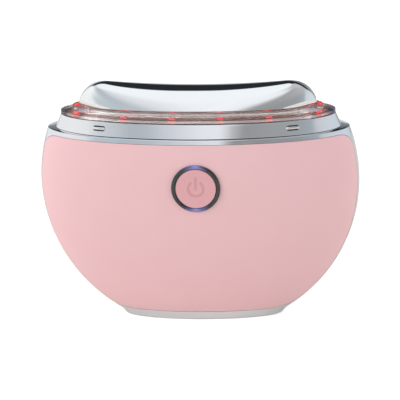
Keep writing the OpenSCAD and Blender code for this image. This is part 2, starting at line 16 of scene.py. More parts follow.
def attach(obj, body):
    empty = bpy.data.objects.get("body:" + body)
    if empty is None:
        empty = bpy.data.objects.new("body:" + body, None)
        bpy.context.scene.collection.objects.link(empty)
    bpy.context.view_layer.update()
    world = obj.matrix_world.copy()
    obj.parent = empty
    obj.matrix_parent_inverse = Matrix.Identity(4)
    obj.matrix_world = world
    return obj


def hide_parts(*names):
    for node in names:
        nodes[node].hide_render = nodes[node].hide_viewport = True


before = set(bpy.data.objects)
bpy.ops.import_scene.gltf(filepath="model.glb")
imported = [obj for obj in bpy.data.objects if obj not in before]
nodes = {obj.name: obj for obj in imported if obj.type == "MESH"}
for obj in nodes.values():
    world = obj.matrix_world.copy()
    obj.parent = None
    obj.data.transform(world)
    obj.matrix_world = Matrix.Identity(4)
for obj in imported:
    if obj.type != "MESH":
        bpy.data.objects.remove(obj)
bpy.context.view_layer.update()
MM = 0.001

# %% [markdown]
# ## The camera
# The photograph is taken with a long lens from a little above and from the right, and the picture is
# tilted slightly. These angles and the scale were measured on the outline of the egg and its seams.
# A lens two metres away draws almost without perspective, so the oval seams keep their true shape.

# %% Camera
CAMERA_AZIMUTH, CAMERA_ELEVATION, CAMERA_ROLL = 5.25, 19.0, 1.82
PIXELS_PER_MM, PICTURE_SIDE = 3.71, 400
CAMERA_DISTANCE = 2000.0
CAMERA_TARGET = Vector((-0.26, 0.05, 31.87))
CLIP_NEAR, CLIP_FAR = 100.0, 20000.0
SENSOR = 36.0


def make_camera():
    a, e, r = (math.radians(x) for x in (CAMERA_AZIMUTH, CAMERA_ELEVATION, CAMERA_ROLL))
    right = Vector((math.cos(a), math.sin(a), 0))
    up = Vector((-math.sin(a) * math.sin(e), math.cos(a) * math.sin(e), math.cos(e)))
    back = right.cross(up)
    data = bpy.data.cameras.new("camera")
    data.sensor_width = SENSOR
    data.lens = PIXELS_PER_MM * CAMERA_DISTANCE * SENSOR / PICTURE_SIDE
    data.clip_start, data.clip_end = CLIP_NEAR * MM, CLIP_FAR * MM
    camera = bpy.data.objects.new("camera", data)
    bpy.context.scene.collection.objects.link(camera)
    tilted_right = right * math.cos(r) - up * math.sin(r)
    tilted_up = right * math.sin(r) + up * math.cos(r)
    turn = Matrix((tilted_right, tilted_up, back)).transposed().to_4x4()
    camera.matrix_world = Matrix.Translation((CAMERA_TARGET + back * CAMERA_DISTANCE) * MM) @ turn
    bpy.context.scene.camera = camera
    return camera


camera = make_camera()
print("lens:", round(camera.data.lens, 1), "mm")

# %% [markdown]
# ## Stacks of ovals
# Nearly every piece of this tool is a stack of ovals. A circle of points could simply be scaled, but
# the points would then crowd at the oval's narrow ends. Here they are spread evenly along its
# length, so ribs and edges keep one width all round. Each oval is extruded from the one before it.
# Sizes are in millimetres, with +Z up and the button at the front, towards -Y.

# %% Points along an oval
LOOP_POINTS = 240
SAME_POINT = 1e-4                               # points closer than this are one point


def oval_angles(a, b, count):
    """Angles at which points lie evenly spaced along an oval with half axes a and b."""
    steps = 4 * count
    reach = [0.0]
    for i in range(steps):
        t0, t1 = (2 * math.pi * k / steps for k in (i, i + 1))
        across, along = a * (math.cos(t1) - math.cos(t0)), b * (math.sin(t1) - math.sin(t0))
        reach.append(reach[-1] + math.hypot(across, along))
    angles, i = [], 0
    for k in range(count):
        want = reach[-1] * k / count
        while reach[i + 1] < want:
            i += 1
        share = (want - reach[i]) / (reach[i + 1] - reach[i])
        angles.append(2 * math.pi * (i + share) / steps)
    return angles


print("points along an oval:", LOOP_POINTS)


# %% Lofts
def loop_edges(bm, ring):
    return [bm.edges.get((ring[k - 1], ring[k])) for k in range(len(ring))]


def loft(bm, places, count, closed=False):
    """Extrudes a loop of points from place to place. Each place gives point k's position."""
    first = ring = list(bmesh.ops.create_circle(bm, segments=count, radius=1)["verts"])
    for k, v in enumerate(ring):
        v.co = Vector(places[0](k))
    for place in [*places[1:], places[0]] if closed else places[1:]:
        made = bmesh.ops.extrude_edge_only(bm, edges=loop_edges(bm, ring))["geom"]
        fresh = {v for v in made if isinstance(v, bmesh.types.BMVert)}
        ring = [next(e.other_vert(v) for e in v.link_edges if e.other_vert(v) in fresh) for v in ring]
        for k, v in enumerate(ring):
            v.co = Vector(place(k))
    if closed:
        bmesh.ops.remove_doubles(bm, verts=first + ring, dist=SAME_POINT)
    return first, ring


def stack_of_ovals(bm, rings, count=LOOP_POINTS, closed=False, ribs=None):
    """Lofts ovals given as (a, b, z). ribs says by how much point k of ring i is drawn in."""
    spread = oval_angles(rings[0][0], rings[0][1], count)

    def oval(i, a, b, z):
        def place(k):
            inset = ribs(i, k) if ribs else 0.0
            return ((a - inset) * math.cos(spread[k]), (b - inset) * math.sin(spread[k]), z)
        return place

    return loft(bm, [oval(i, *ring) for i, ring in enumerate(rings)], count, closed)


# %% [markdown]
# ## Cuts and finished pieces
# The openings of a moulding follow planes. A boolean could cut them, but it leaves long thin faces
# that spoil a mirror finish. Bisecting the skin along each plane keeps the faces small and even.
# A finished mesh becomes an object in metres, and a bevel then rounds its edges as a mould would.

# %% Cuts
CUT_MERGE = 0.01                                # joins the crumbs along a cut


def carve(bm, planes, near):
    """Cuts along planes (point, outward normal), then drops the faces inside all of them."""
    for co, no in planes:
        faces = [f for f in bm.faces if near(f.calc_center_median())]
        # Each edge and corner once, in the order of the faces
        edges = dict.fromkeys(e for f in faces for e in f.edges)
        verts = dict.fromkeys(v for f in faces for v in f.verts)
        bmesh.ops.bisect_plane(bm, geom=[*verts, *edges, *faces], plane_co=co, plane_no=no, dist=SAME_POINT)
    doomed = []
    for f in bm.faces:
        middle = f.calc_center_median()
        if near(middle) and all((middle - co).dot(no) < 0 for co, no in planes):
            doomed.append(f)
    bmesh.ops.delete(bm, geom=doomed, context="FACES")
    bmesh.ops.remove_doubles(bm, verts=bm.verts, dist=CUT_MERGE)


# %% Finished pieces
EDGE_STEPS, EDGE_ANGLE = 3, 40                  # how finely and from what angle an edge is rounded


def piece(name, bm, sharp=35):
    """Turns the finished mesh, in millimetres, into an object in metres with smooth shading."""
    bmesh.ops.scale(bm, vec=(MM, MM, MM), verts=bm.verts)
    for f in bm.faces:
        f.smooth = True
    mesh = bpy.data.meshes.new(name)
    bm.to_mesh(mesh)
    bm.free()
    mesh.set_sharp_from_angle(angle=math.radians(sharp))
    obj = bpy.data.objects.new(name, mesh)
    bpy.context.scene.collection.objects.link(obj)
    return obj


def modify(obj, kind, **settings):
    modifier = obj.modifiers.new(kind.lower(), kind)
    for key, value in settings.items():
        setattr(modifier, key, value)


def round_edges(obj, width):
    modify(obj, "BEVEL", width=width * MM, segments=EDGE_STEPS, limit_method="ANGLE",
           angle_limit=math.radians(EDGE_ANGLE), harden_normals=True, use_clamp_overlap=True)


# %% [markdown]
# ## The pink shells
# Each shell is a piece of the egg's skin. A dense sphere is scaled to the egg, then planes that run
# across it cut the shell's outline as the side view shows it. Each corner is a fan of planes, and
# the first and last plane of a fan are the straight edges beside it. Solidify gives the skin its
# moulded wall, and a bevel rounds the hairline edge, which is what makes a gap look moulded.

# %% Body sizes
BODY_A, BODY_B, BODY_RZ = 43.0, 14.2, 43.7      # half axes of the egg
BELLY_Z, RIM_Z = 38.9, 53.2                     # height of its widest line and of the frame's rim
BASE_Z, PANEL_TOP_Z = 2.7, 52.0                 # lower and upper edge of the panels' recess
STRIP_Y, PANEL_CORNER, PANEL_GAP = 2.0, 3.5, 0.1
WALL = 1.6
SHELL_MERGE = 0.02                              # joins points of a skin before it gets its wall
print("egg:", 2 * BODY_A, "x", 2 * BODY_B, "mm")

# %% Panel outline
CORNER_CUTS = 14


def panel_planes(side, gap):
    """Planes round a panel's outline in the side view; side is -1 at the front and 1 at the rear."""
    edge, low, high = STRIP_Y + gap, BASE_Z + gap, PANEL_TOP_Z - gap
    r = PANEL_CORNER - gap
    planes = []
    for centre_z, turn in ((low + r, -1), (high - r, 1)):
        for k in range(CORNER_CUTS + 1):
            t = math.radians(90 * k / CORNER_CUTS)
            no = Vector((0, -side * math.cos(t), turn * math.sin(t)))
            planes.append((Vector((0, side * (edge + r), centre_z)) + no * r, no))
    return planes


print("planes round a panel:", len(panel_planes(-1, PANEL_GAP)))

# %% Opening for the button
BUTTON_Z, BEZEL_SLEEVE_R = 40.0, 6.2
HOLE_CUTS, HOLE_GAP, HOLE_REACH = 64, 0.1, 3.0


def button_hole(radius):
    planes = []
    for k in range(HOLE_CUTS):
        t = 2 * math.pi * k / HOLE_CUTS
        no = Vector((math.cos(t), 0, math.sin(t)))
        planes.append((Vector((0, 0, BUTTON_Z)) + no * radius, no))
    return planes


def near_button(point):
    return point.y < 0 and math.hypot(point.x, point.z - BUTTON_Z) < BEZEL_SLEEVE_R + HOLE_REACH


print("opening:", 2 * (BEZEL_SLEEVE_R + HOLE_GAP), "mm wide")

# %% Shells
EGG_AROUND, EGG_ROWS = 240, 160
PANEL_EDGE = 0.18


def egg_skin():
    bm = bmesh.new()
    bmesh.ops.create_uvsphere(bm, u_segments=EGG_AROUND, v_segments=EGG_ROWS, radius=1)
    bmesh.ops.scale(bm, vec=(BODY_A, BODY_B, BODY_RZ), verts=bm.verts)
    bmesh.ops.translate(bm, vec=(0, 0, BELLY_Z), verts=bm.verts)
    return bm


def panel_shell(name, side):
    bm = egg_skin()
    for co, no in panel_planes(side, PANEL_GAP):
        geom = [*bm.verts, *bm.edges, *bm.faces]
        bmesh.ops.bisect_plane(bm, geom=geom, plane_co=co, plane_no=no, clear_outer=True, dist=SAME_POINT)
    if side < 0:
        carve(bm, button_hole(BEZEL_SLEEVE_R + HOLE_GAP), near_button)
    bmesh.ops.remove_doubles(bm, verts=bm.verts, dist=SHELL_MERGE)
    shell = piece(name, bm)
    modify(shell, "SOLIDIFY", thickness=WALL * MM, offset=-1, use_even_offset=True)
    round_edges(shell, PANEL_EDGE)
    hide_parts(name.replace("_shell", ""))
    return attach(shell, "housing")


front_shell = panel_shell("front_panel_shell", -1)
rear_shell = panel_shell("rear_panel_shell", 1)
print("front shell:", len(front_shell.data.polygons), "faces")

# %% [markdown]
# ## The silver frame
# Base, side strips and rim are one plated moulding. It is lofted from ovals, with a rounded edge
# under the base and a flat ledge at the rim, and then loses the openings for the two shells and for
# the charging socket. One skin with a Solidify wall keeps the strips as thin as a moulder would.

# %% Frame profile
BASE_ROUND, BASE_TURN, BASE_STEPS = 1.2, 65, 6  # the base's edge turns until it meets the egg
BASE_SHARES = (0.2, 0.6, 0.9)                   # ovals across the flat base
SIDE_START, SIDE_ROWS = 0.95 * BASE_ROUND, 90
RIM_ROUND, RIM_STEPS = 0.25, 3
RIM_INNER, RIM_SHARES = (34.0, 10.6), (0.4, 0.8, 1.0)


def body_share(z):
    return math.sqrt(max(0.0, 1 - ((z - BELLY_Z) / BODY_RZ) ** 2))


def frame_rings():
    """Ovals from the middle of the base, out over its rounded edge, up the egg and in at the rim."""
    foot = body_share(BASE_ROUND)
    foot_a, foot_b = BODY_A * foot - BASE_ROUND, BODY_B * foot - BASE_ROUND
    rings = [(foot_a * share, foot_b * share, 0) for share in BASE_SHARES]
    for k in range(BASE_STEPS + 1):
        t = math.radians(BASE_TURN * k / BASE_STEPS)
        out = BASE_ROUND * math.sin(t)
        rings.append((foot_a + out, foot_b + out, BASE_ROUND * (1 - math.cos(t))))
    side_end = RIM_Z - RIM_ROUND
    for k in range(1, SIDE_ROWS + 1):
        z = SIDE_START + (side_end - SIDE_START) * k / SIDE_ROWS
        share = body_share(z)
        rings.append((BODY_A * share, BODY_B * share, z))
    a, b = rings[-1][:2]
    for k in range(1, RIM_STEPS + 1):
        t = math.radians(90 * k / RIM_STEPS)
        inset = RIM_ROUND * (1 - math.cos(t))
        rings.append((a - inset, b - inset, side_end + RIM_ROUND * math.sin(t)))
    for share in RIM_SHARES:
        rings.append((a + (RIM_INNER[0] - a) * share, b + (RIM_INNER[1] - b) * share, RIM_Z))
    return rings


print("ovals in the frame:", len(frame_rings()))

# %% Openings of the frame
USB_SLOT_W, USB_SLOT_T, SLOT_CUTS = 9.24, 3.5, 64
PANEL_REACH_DOWN, PANEL_REACH_UP = 2.0, 1.0     # how far past a recess its cuts may run
SLOT_REACH_Y, SLOT_REACH_Z = 5.0, 1.0


def slot_planes(width, height):
    """Upright planes round a slot with round ends."""
    planes = []
    for k in range(SLOT_CUTS):
        t = 2 * math.pi * (k + 0.5) / SLOT_CUTS
        no = Vector((math.cos(t), math.sin(t), 0))
        end = Vector((math.copysign((width - height) / 2, no.x), 0, 0))
        planes.append((end + no * height / 2, no))
    return planes


def near_panel(side):
    low, high = BASE_Z - PANEL_REACH_DOWN, PANEL_TOP_Z + PANEL_REACH_UP
    return lambda point: point.y * side > 0 and low < point.z < high


def near_slot(point):
    return point.z < SLOT_REACH_Z and abs(point.y) < SLOT_REACH_Y


print("planes round the slot:", len(slot_planes(USB_SLOT_W, USB_SLOT_T)))

# %% Frame
FRAME_EDGE = 0.12
BASE_SKIN_Z, SLIVER_AREA, FACES_DOWN = 0.05, 1e-4, -0.5


def drop_slivers(bm):
    """Removes what the cuts left under the base: faces without area, or that don't face down."""
    bmesh.ops.dissolve_degenerate(bm, dist=SHELL_MERGE, edges=bm.edges)
    bm.normal_update()
    slivers = []
    for f in bm.faces:
        stray = f.normal.z > FACES_DOWN or f.calc_area() < SLIVER_AREA
        if stray and f.calc_center_median().z < BASE_SKIN_Z:
            slivers.append(f)
    bmesh.ops.delete(bm, geom=slivers, context="FACES")


def frame_shell():
    bm = bmesh.new()
    stack_of_ovals(bm, frame_rings())
    bmesh.ops.recalc_face_normals(bm, faces=bm.faces)
    for side in (-1, 1):
        carve(bm, panel_planes(side, 0.0), near_panel(side))
    carve(bm, slot_planes(USB_SLOT_W, USB_SLOT_T), near_slot)
    bmesh.ops.remove_doubles(bm, verts=bm.verts, dist=SHELL_MERGE)
    drop_slivers(bm)
    shell = piece("frame_shell", bm)
    modify(shell, "SOLIDIFY", thickness=WALL * MM, offset=-1, use_even_offset=False)
    round_edges(shell, FRAME_EDGE)
    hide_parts("mid_frame")
    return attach(shell, "housing")


frame_piece = frame_shell()
print("frame:", len(frame_piece.data.polygons), "faces")

# %% [markdown]
# ## The collar
# The collar is a chrome ring whose wall slopes inwards from the frame to the lens. It could be a
# scaled copy of the frame's rim, but its own profile has a crisp foot and a soft upper edge, and the
# soft edge is what draws the bright line round its top.

# %% Collar
COLLAR_FOOT_A, COLLAR_FOOT_B = 38.5, 12.8
COLLAR_TOP_A = 37.0
COLLAR_TOP_B = 0.3 * COLLAR_TOP_A
COLLAR_WALL = 1.2
LENS_Z = 56.9
# Share of the way down the slope, and how far out the surface lies there
COLLAR_PROFILE = ((1, -0.12), (0.97, 0), (0.9, 0), (0.5, 0), (0.15, 0), (0.06, 0), (0.016, -0.03), (0, -0.2))


def collar_slope(t, out=0.0):
    """Half axes and height of the collar's outside, from its top (t = 0) to its foot (t = 1)."""
    a = COLLAR_TOP_A + (COLLAR_FOOT_A - COLLAR_TOP_A) * t
    b = COLLAR_TOP_B + (COLLAR_FOOT_B - COLLAR_TOP_B) * t
    return (a + out, b + out, LENS_Z - (LENS_Z - RIM_Z) * t)


def collar_piece():
    bm = bmesh.new()
    bore_a, bore_b = COLLAR_TOP_A - COLLAR_WALL, COLLAR_TOP_B - COLLAR_WALL
    rings = [collar_slope(t, out) for t, out in COLLAR_PROFILE]
    rings += [(bore_a, bore_b, LENS_Z), (bore_a, bore_b, RIM_Z)]
    stack_of_ovals(bm, rings, closed=True)
    bmesh.ops.recalc_face_normals(bm, faces=bm.faces)
    obj = piece("collar_ring", bm)
    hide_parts("upper_collar")
    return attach(obj, "housing")


collar = collar_piece()
print("collar:", len(collar.data.polygons), "faces")

# %% [markdown]
# ## The collar's shadow line and beads
# Under the collar a thin line of shadow shows in the middle and closes towards the ends. A black band
# set into the gap paints that shadow, because the real gap is too fine for the light to go dark in. Four
# small beads hold a travel cap. Each sits in a shallow seat, and the same capsule made wider,
# flatter and black paints the shade at the seat's edge.

# %% Shadow line
SEAM_HEIGHT, SEAM_DEPTH = 0.15, 0.6
SEAM_IN, SEAM_LIFT, SEAM_LEAST = 0.04, 0.005, 0.01
SEAM_END = 0.92                                 # share of the half width at which the gap has closed


# A black band in the gap under the collar paints its line of shadow
def seam_painted_shadow():
    bm = bmesh.new()
    a, b, z = collar_slope(1, -SEAM_IN)
    spread = oval_angles(a, b, LOOP_POINTS)

    def wall(out, share):
        def place(k):
            x, y = math.cos(spread[k]), math.sin(spread[k])
            height = SEAM_HEIGHT * max(0.0, 1 - (x / SEAM_END) ** 4) + SEAM_LEAST
            return ((a + out) * x, (b + out) * y, z + SEAM_LIFT + height * share)
        return place

    band = [wall(-SEAM_DEPTH, 0), wall(0, 0), wall(0, 1), wall(-SEAM_DEPTH, 1)]
    loft(bm, band, LOOP_POINTS, closed=True)
    bmesh.ops.recalc_face_normals(bm, faces=bm.faces)
    obj = piece("seam_painted_shadow", bm)
    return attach(obj, "housing")


seam = seam_painted_shadow()
print("shadow line:", SEAM_HEIGHT, "mm high")

# %% Beads
BEAD_X, BEAD_DROP = 26.0, 0.46                  # place along the collar and down its slope
BEAD_TILT = 0.35                                # leans with the slope, in radians
BEAD_AROUND, BEAD_ROWS = 24, 16


def capsule(bm, length, radius, depth):
    """A sphere flattened to depth, with its left and right halves moved apart."""
    made = bmesh.ops.create_uvsphere(bm, u_segments=BEAD_AROUND, v_segments=BEAD_ROWS, radius=radius)["verts"]
    bmesh.ops.scale(bm, verts=made, vec=(1, depth / radius, 1))
    for v in made:
        if abs(v.co.x) > SAME_POINT:
            v.co.x += math.copysign(length / 2 - radius, v.co.x)
    return made


def bead_set(name, length, radius, depth):
    """Four capsules along the collar's slope, radius high and depth thick."""
    bm = bmesh.new()
    a, b, z = collar_slope(BEAD_DROP)
    bulge = math.sqrt(1 - (BEAD_X / a) ** 2)
    heading = math.atan(b * BEAD_X / (a ** 2 * bulge))
    for sx in (-1, 1):
        for sy in (-1, 1):
            made = capsule(bm, length, radius, depth)
            bmesh.ops.rotate(bm, verts=made, matrix=Matrix.Rotation(sy * BEAD_TILT, 3, "X"))
            bmesh.ops.rotate(bm, verts=made, matrix=Matrix.Rotation(-sx * sy * heading, 3, "Z"))
            bmesh.ops.translate(bm, verts=made, vec=(sx * BEAD_X, sy * b * bulge, z))
    obj = piece(name, bm)
    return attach(obj, "housing")


beads = bead_set("collar_beads", length=3.7, radius=0.44, depth=0.5)
# The wider, flatter black capsules paint the shade at the edge of each seat
bead_seats_painted_shade = bead_set("bead_seats_painted_shade", length=3.6, radius=0.72, depth=0.16)
print("beads:", len(beads.data.polygons), "faces")

# %% [markdown]
# ## The lens
# The lens is clear plastic with two steps. Their walls are ribbed every half millimetre, which
# breaks the light of the LEDs into sparks. The ribs are real geometry, because clear plastic bends
# light by its shape, and a bump alone would leave the outline smooth. A brown line of glue lies
# under the lens, open over each LED, and a darker tint on the lower wall paints the collar's shade.

# %% Lens sizes
STEP_Z, LENS_TOP_Z = 57.9, 59.3
LENS_HIGH_A, LENS_HIGH_B = 33.9, 8.1
NECK_A, NECK_B, NECK_GAP = 30.8, 6.2, 0.2
RIB_PITCH, POINTS_PER_RIB = 0.5, 4
LOW_RIB_DEPTH, HIGH_RIB_DEPTH = 0.06, 0.16
GLUE_A, GLUE_B = 3.2, 2.4                       # width of the glue at the ends and at front and back
FOOT_IN, FOOT_UP = 0.3, 0.12                    # rounded edges, as far in and as far up or down
LOW_EDGE_IN, LOW_EDGE_DOWN = 0.08, 0.05
HIGH_EDGE_IN, HIGH_EDGE_DOWN = 0.2, 0.15
LED_XS, LED_CLEAR = (6.55, 19.65, 32.75), 2.0
# The third material is a darker tint that paints the collar's shade on the lower wall
CLEAR, GLUE, PAINTED_SHADE = 0, 1, 2                    # the lens's materials


def oval_length(a, b):
    return math.pi * (3 * (a + b) - math.sqrt((3 * a + b) * (a + 3 * b)))


RIBS = round(oval_length(COLLAR_TOP_A, COLLAR_TOP_B) / RIB_PITCH)
print("ribs round the lens:", RIBS)

# %% Lens
LENS_RINGS = [
    (NECK_A + NECK_GAP, NECK_B + NECK_GAP, LENS_Z),
    (COLLAR_TOP_A - GLUE_A, COLLAR_TOP_B - GLUE_B, LENS_Z),
    (COLLAR_TOP_A - FOOT_IN, COLLAR_TOP_B - FOOT_IN, LENS_Z),
    (COLLAR_TOP_A, COLLAR_TOP_B, LENS_Z + FOOT_UP),
    (COLLAR_TOP_A, COLLAR_TOP_B, STEP_Z - LOW_EDGE_DOWN),
    (COLLAR_TOP_A - LOW_EDGE_IN, COLLAR_TOP_B - LOW_EDGE_IN, STEP_Z),
    (LENS_HIGH_A, LENS_HIGH_B, STEP_Z),
    (LENS_HIGH_A, LENS_HIGH_B, LENS_TOP_Z - HIGH_EDGE_DOWN),
    (LENS_HIGH_A - HIGH_EDGE_IN, LENS_HIGH_B - HIGH_EDGE_IN, LENS_TOP_Z),
    (NECK_A + NECK_GAP, NECK_B + NECK_GAP, LENS_TOP_Z),
]
RIBBED_RINGS = {3: LOW_RIB_DEPTH, 4: LOW_RIB_DEPTH, 6: HIGH_RIB_DEPTH, 7: HIGH_RIB_DEPTH}
LEVEL_SLACK = 0.01                              # tells a face on a level from one above it


def lens_rib(i, k):
    """The middle points of every rib lie in a groove."""
    return RIBBED_RINGS.get(i, 0.0) if k % POINTS_PER_RIB in (1, 2) else 0.0


def lens_material_at(point):
    from_led = min(abs(abs(point.x) - x) for x in LED_XS)
    if point.z < LENS_Z + LEVEL_SLACK:
        return GLUE if from_led > LED_CLEAR else CLEAR
    # The lower wall gets the darker tint: painted shade from the collar
    on_low_wall = LENS_Z + FOOT_UP - LEVEL_SLACK < point.z < STEP_Z - LOW_EDGE_DOWN + LEVEL_SLACK
    return PAINTED_SHADE if on_low_wall else CLEAR


def lens_piece():
    bm = bmesh.new()
    stack_of_ovals(bm, LENS_RINGS, RIBS * POINTS_PER_RIB, closed=True, ribs=lens_rib)
    bmesh.ops.recalc_face_normals(bm, faces=bm.faces)
    for f in bm.faces:
        f.material_index = lens_material_at(f.calc_center_median())
    obj = piece("lens_steps", bm, sharp=25)
    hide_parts("lens_ring")
    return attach(obj, "housing")


lens = lens_piece()
print("lens:", len(lens.data.polygons), "faces")

# %% [markdown]
# ## The head
# Seen from the end the head is a parabola, blunt enough to glide. Seen from the front its edge dips
# in the middle to follow the jaw, and both ends are rounded. It could be sculpted, but one stack of
# loops keeps the mirror smooth: each loop is a little narrower and higher than the last, and the
# last one closes into the edge.

# %% Head sizes
HEAD_A, HEAD_B, HEAD_Z = 32.1, 7.5, 59.5
HEAD_H, HEAD_DIP, HEAD_SHOULDER = 6.2, 1.1, 8.5
HEAD_BLUNTNESS = 0.6                            # how square the loops grow towards the edge
HEAD_LIP = 0.25
NECK_FOOT_Z, NECK_RIM = 55.8, 2.0
HEAD_ROWS, HEAD_MERGE = 40, 0.005
print("head:", 2 * HEAD_A, "x", 2 * HEAD_B, "x", HEAD_H, "mm")


# %% Head
def head_loop(share, spread):
    """The loop at a share of the depth, 1 at the foot and 0 at the edge."""
    rise = 1 - share * share
    a = HEAD_A - HEAD_SHOULDER * (1 - math.sqrt(max(0.0, 1 - rise * rise)))
    fullness = 1 - HEAD_BLUNTNESS * rise

    def blunt(value):
        return math.copysign(abs(value) ** fullness, value)

    def place(k):
        x, y = a * blunt(math.cos(spread[k])), HEAD_B * share * blunt(math.sin(spread[k]))
        lift = (HEAD_H - HEAD_DIP) * rise + HEAD_DIP * (x / (HEAD_A - HEAD_SHOULDER)) ** 2 * rise ** 2
        return (x, y, HEAD_Z + lift)

    return place


def head_piece():
    bm = bmesh.new()
    spread = oval_angles(HEAD_A, HEAD_B, LOOP_POINTS)

    def neck(a, b, z):
        return lambda k: (a * math.cos(spread[k]), b * math.sin(spread[k]), z)

    places = [neck(NECK_A - NECK_RIM, NECK_B - NECK_RIM, NECK_FOOT_Z), neck(NECK_A, NECK_B, NECK_FOOT_Z),
              neck(NECK_A, NECK_B, HEAD_Z), neck(HEAD_A - HEAD_LIP, HEAD_B - HEAD_LIP, HEAD_Z)]
    places += [head_loop(1 - i / HEAD_ROWS, spread) for i in range(HEAD_ROWS + 1)]
    foot, _ = loft(bm, places, LOOP_POINTS)
    bmesh.ops.contextual_create(bm, geom=foot + loop_edges(bm, foot))
    bmesh.ops.remove_doubles(bm, verts=bm.verts, dist=HEAD_MERGE)
    bmesh.ops.recalc_face_normals(bm, faces=bm.faces)
    obj = piece("head_form", bm, sharp=50)
    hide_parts("head_shell")
    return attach(obj, "housing")


head = head_piece()
print("head:", len(head.data.polygons), "faces")

# %% [markdown]
# ## The ring round the button
# The ring is a turned bead. Its half-round profile is spun about the button's axis, as on a lathe,
# and a sleeve behind it reaches through the shell. A torus would lack the sleeve and the flat back.

# %% Button ring
BEZEL_R, BEZEL_BORE_R, BEZEL_CROWN = 6.6, 5.5, 0.42
BEZEL_FRONT_Y, BEZEL_FLANGE_Y, BEZEL_BACK_Y = -14.7, -14.2, -12.1
CROWN_STEPS, BEZEL_AROUND = 12, 128


def bezel_piece():
    bm = bmesh.new()
    middle, half = (BEZEL_R + BEZEL_BORE_R) / 2, (BEZEL_R - BEZEL_BORE_R) / 2
    profile = [(BEZEL_SLEEVE_R, BEZEL_BACK_Y), (BEZEL_SLEEVE_R, BEZEL_FLANGE_Y), (BEZEL_R, BEZEL_FLANGE_Y)]
    for k in range(CROWN_STEPS + 1):
        t = math.pi * k / CROWN_STEPS
        profile.append((middle + half * math.cos(t), BEZEL_FRONT_Y + BEZEL_CROWN * (1 - math.sin(t))))
    profile.append((BEZEL_BORE_R, BEZEL_BACK_Y))
    ring = [bm.verts.new((r, y, BUTTON_Z)) for r, y in profile]
    edges = [bm.edges.new((ring[k - 1], ring[k])) for k in range(len(ring))]
    bmesh.ops.spin(bm, geom=ring + edges, cent=(0, 0, BUTTON_Z), axis=(0, 1, 0), angle=2 * math.pi,
                   steps=BEZEL_AROUND, use_merge=True)
    bmesh.ops.remove_doubles(bm, verts=bm.verts, dist=SAME_POINT)
    bmesh.ops.recalc_face_normals(bm, faces=bm.faces)
    obj = piece("bezel_ring", bm)
    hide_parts("button_bezel")
    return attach(obj, "housing")


bezel = bezel_piece()
print("ring:", len(bezel.data.polygons), "faces")

# %% [markdown]
# ## Colours, nodes and clouds
# One function turns the hex colours into linear light, and one adds a node with its settings and
# links. Nothing made is quite even, so every finish shares one pattern: two close tones in soft
# clouds of a real size, and a roughness that wanders with them. A perfect mirror looks drawn.

# %% Colours and nodes
MIX_FIRST, MIX_SECOND, MIX_RESULT = 6, 7, 2     # a Mix node's sockets when it mixes colours


def linear(hex_colour):
    channels = [int(hex_colour[i:i + 2], 16) / 255 for i in (1, 3, 5)]
    return [c / 12.92 if c <= 0.04045 else ((c + 0.055) / 1.055) ** 2.4 for c in channels] + [1.0]


def connect(tree, node, inputs):
    """Gives each input, by name or index, a value, a hex colour or the output to link to it."""
    for key, value in inputs.items():
        socket = node.inputs[key]
        if isinstance(value, bpy.types.NodeSocket):
            tree.links.new(value, socket)
        else:
            socket.default_value = linear(value) if isinstance(value, str) else value


def add_node(tree, kind, settings=None, inputs=None):
    node = tree.nodes.new(kind)
    for key, value in (settings or {}).items():
        setattr(node, key, value)
    connect(tree, node, inputs or {})
    return node


def principled(material):
    return next(n for n in material.node_tree.nodes if n.type == "BSDF_PRINCIPLED")


def new_material(name):
    material = bpy.data.materials.new(name)
    material.use_nodes = True
    coords = add_node(material.node_tree, "ShaderNodeTexCoord").outputs["Object"]
    return material, material.node_tree, principled(material), coords


print("white in linear light:", linear("#ffffff"))

# %% Clouds
NOISE_LOW, NOISE_HIGH = 0.35, 0.65              # most of a noise lies between these
SOFT_DETAIL, FINE_DETAIL = 2.0, 3.0


def clouded(tree, coords, size_mm, tones, roughness, detail=SOFT_DETAIL):
    """Clouds about size_mm across, their tone between two, and a roughness that wanders with them."""
    clouds = add_node(tree, "ShaderNodeTexNoise", {},
                      {"Vector": coords, "Scale": 1 / (size_mm * MM), "Detail": detail}).outputs["Fac"]
    tone = add_node(tree, "ShaderNodeMix", {"data_type": "RGBA"},
                    {"Factor": clouds, MIX_FIRST: tones[0], MIX_SECOND: tones[1]}).outputs[MIX_RESULT]
    wander = add_node(tree, "ShaderNodeMapRange", {},
                      {"Value": clouds, "From Min": NOISE_LOW, "From Max": NOISE_HIGH,
                       "To Min": roughness[0], "To Max": roughness[1]}).outputs["Result"]
    return clouds, tone, wander


def from_middle(tree, coords):
    """How far a point lies to the left or right of the tool's middle."""
    x = add_node(tree, "ShaderNodeSeparateXYZ", {}, {"Vector": coords}).outputs["X"]
    return add_node(tree, "ShaderNodeMath", {"operation": "ABSOLUTE"}, {0: x}).outputs[0]


# %% [markdown]
# ## Lacquer and moulded plastic
# The shells are ABS with a pink lacquer. Lacquer is smoother than bare plastic and has a clear coat,
# so it shows a broad soft highlight. Bare mouldings keep the grain of the mould. Both are one
# function, since only tone, grain and coat differ. Lacquer's real orange peel is about half a
# millimetre from crest to crest.

# %% Lacquer and plastic
PLASTIC_CLOUD, GRAIN_HEIGHT, COAT_ROUGHNESS = 9.0, 0.01, 0.12
ROUGHNESS_WANDER = 0.08


